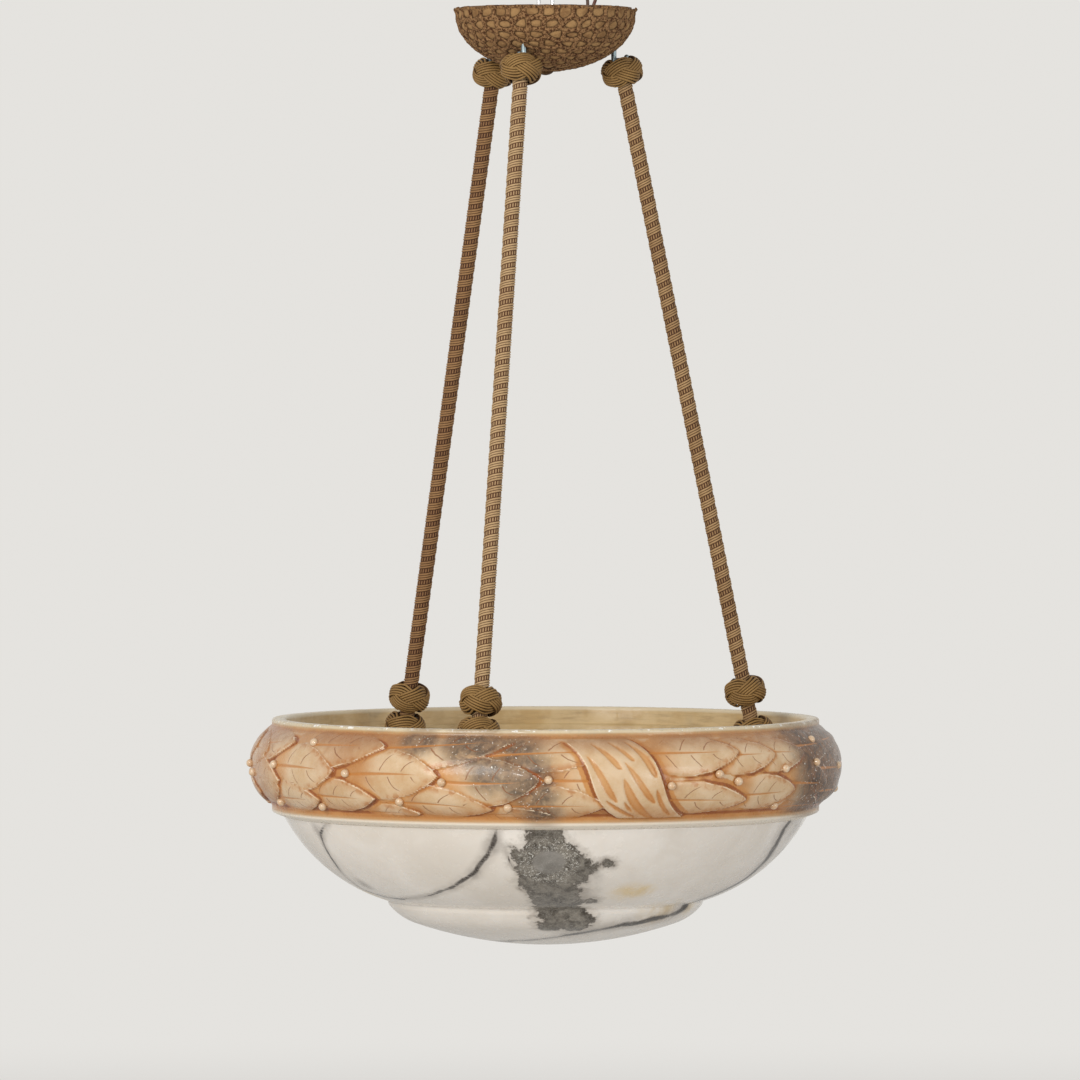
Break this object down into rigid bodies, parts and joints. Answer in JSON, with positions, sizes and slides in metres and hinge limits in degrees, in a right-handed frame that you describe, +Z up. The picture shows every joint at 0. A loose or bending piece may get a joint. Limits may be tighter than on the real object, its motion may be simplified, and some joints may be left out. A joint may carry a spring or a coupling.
{
  "type": "alabaster bowl pendant",
  "caption": "Hanging ceiling light: a carved alabaster bowl with a leaf band on knotted ropes under a crochet-covered canopy, with lampholders and bulbs inside.",
  "frame": {"origin": "centre of the hanging eye's bore, where the ceiling hook goes", "axes": "+Z up along the pendant's axis, +X to the right of the pictured side and along the bore, +Y away from it"},
  "size_m": [0.4499, 0.45, 0.7493],
  "materials": {
    "alabaster": "polished",
    "bright_steel": "satin",
    "zinc_steel": "dull zinc",
    "cup_steel": "matt",
    "crochet": "crochet net over lining",
    "rope_braid": "corded thread",
    "knot_cord": "knotted cord",
    "porcelain": "glazed",
    "brass": "aged",
    "brown_wire": "matt insulation",
    "dark_wire": "matt insulation",
    "lamp_cap": "rolled",
    "lamp_glass": "frosted"
  },
  "bodies": {
    "hanger": {"hanging_eye": "bright_steel"},
    "link": {"chain_link": "bright_steel"},
    "canopy": {"eye_bolt": "zinc_steel", "bolt_nut": "zinc_steel", "suspension_plate": "zinc_steel", "canopy_cup": "cup_steel", "canopy_cover": "crochet", "canopy_nut": "brass", "cup_lock_nut": "zinc_steel", "terminal_block": "porcelain", "terminal_screws": "brass", "supply_wire_brown": "brown_wire", "supply_wire_dark": "dark_wire", "hook_nuts": "zinc_steel", "top_hook_right": "zinc_steel", "top_hook_left": "zinc_steel", "top_hook_middle": "zinc_steel"},
    "rope_right": {"rope_eye_right": "zinc_steel", "top_knot_right": "knot_cord", "rope_right": "rope_braid", "rim_knot_right": "knot_cord", "lower_knot_right": "knot_cord", "foot_hook_right": "zinc_steel"},
    "rope_left": {"rope_eye_left": "zinc_steel", "top_knot_left": "knot_cord", "rope_left": "rope_braid", "rim_knot_left": "knot_cord", "lower_knot_left": "knot_cord", "foot_hook_left": "zinc_steel"},
    "rope_middle": {"rope_eye_middle": "zinc_steel", "top_knot_middle": "knot_cord", "rope_middle": "rope_braid", "rim_knot_middle": "knot_cord", "lower_knot_middle": "knot_cord", "foot_hook_middle": "zinc_steel"},
    "bowl": {"alabaster_bowl": "alabaster", "lamp_spider": "brass", "lamp_hub": "brass", "hub_nipple": "brass", "hub_nut": "brass", "holder_nipples": "brass", "socket_contacts": "brass", "lug_eye_right": "brass", "lug_eye_left": "brass", "lug_eye_middle": "brass", "lampholder_1": "porcelain", "lampholder_2": "porcelain", "lampholder_3": "porcelain"},
    "bulb_1": {"bulb_cap_1": "lamp_cap", "bulb_glass_1": "lamp_glass"},
    "bulb_2": {"bulb_cap_2": "lamp_cap", "bulb_glass_2": "lamp_glass"},
    "bulb_3": {"bulb_cap_3": "lamp_cap", "bulb_glass_3": "lamp_glass"}
  },
  "joints": [
    {"name": "swing_side", "type": "hinge", "parent": "hanger", "child": "link", "pos_m": [0, 0, -0.02065], "axis": [0, 1, 0], "range_deg": [-20, 20]},
    {"name": "swing_front", "type": "hinge", "parent": "link", "child": "canopy", "pos_m": [0, 0, -0.0365], "axis": [1, 0, 0], "range_deg": [-20, 20]},
    {"name": "bowl_twist", "type": "hinge", "parent": "canopy", "child": "bowl", "pos_m": [0, 0, -0.5677], "axis": [0, 0, 1], "range_deg": [-4, 4], "stiffness_Nm_per_rad": 2.2},
    {"name": "rope_right_swing", "type": "hinge", "parent": "canopy", "child": "rope_right", "pos_m": [0.05771, 0.01227, -0.0757], "axis": [0.9781, 0.2079, 0], "range_deg": [-1.8, 1.8]},
    {"name": "rope_left_swing", "type": "hinge", "parent": "canopy", "child": "rope_left", "pos_m": [-0.03948, 0.04385, -0.0757], "axis": [-0.6691, 0.7431, 0], "range_deg": [-1.8, 1.8]},
    {"name": "rope_middle_swing", "type": "hinge", "parent": "canopy", "child": "rope_middle", "pos_m": [-0.01823, -0.05611, -0.0757], "axis": [-0.309, -0.9511, 0], "range_deg": [-1.8, 1.8]},
    {"name": "bulb_1_turn", "type": "hinge", "parent": "bowl", "child": "bulb_1", "pos_m": [0.02273, 0.06995, -0.64379], "axis": [0.309, 0.9511, 0], "range_deg": [0, 90]},
    {"name": "bulb_2_turn", "type": "hinge", "parent": "bowl", "child": "bulb_2", "pos_m": [-0.07194, -0.01529, -0.64379], "axis": [-0.9781, -0.2079, 0], "range_deg": [0, 90]},
    {"name": "bulb_3_turn", "type": "hinge", "parent": "bowl", "child": "bulb_3", "pos_m": [0.04922, -0.05466, -0.64379], "axis": [0.6691, -0.7431, 0], "range_deg": [0, 90]}
  ],
  "couplings": [
    {"joint": "rope_right_swing", "follows": "bowl_twist", "ratio": 0.31418},
    {"joint": "rope_left_swing", "follows": "bowl_twist", "ratio": 0.31418},
    {"joint": "rope_middle_swing", "follows": "bowl_twist", "ratio": 0.31418}
  ]
}
